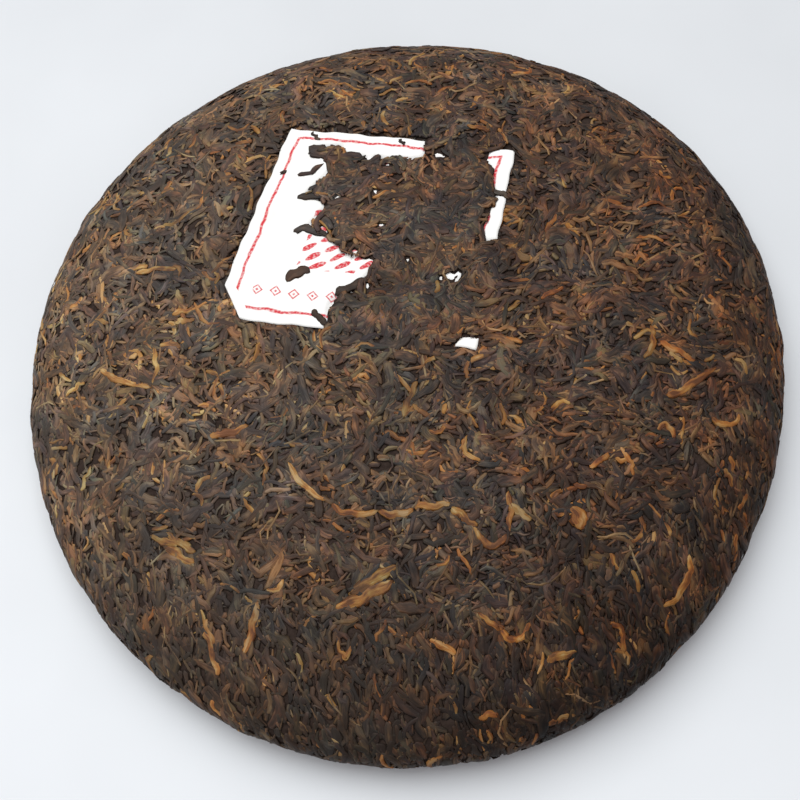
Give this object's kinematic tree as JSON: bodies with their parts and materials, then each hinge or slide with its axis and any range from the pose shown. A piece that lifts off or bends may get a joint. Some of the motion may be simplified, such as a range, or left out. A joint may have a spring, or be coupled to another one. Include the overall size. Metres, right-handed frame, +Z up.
{
  "type": "pu erh tea cake",
  "caption": "Round pressed cake of dark twisted tea leaves, domed on top and hollowed underneath, with a paper ticket pressed into its top. Rests flat and is broken up for brewing.",
  "frame": {"origin": "on the floor under the middle of the cake", "axes": "+Z up through the dome, +Y towards the side that carries the ticket"},
  "size_m": [0.2, 0.2008, 0.0274],
  "materials": {
    "pressed_tea": "dry pressed leaf, dark brown to golden, satin on the strips",
    "ticket_paper": "thin white paper with a plain red border"
  },
  "bodies": {
    "root": {"tea_cake": "pressed_tea", "paper_ticket": "ticket_paper"}
  },
  "joints": []
}
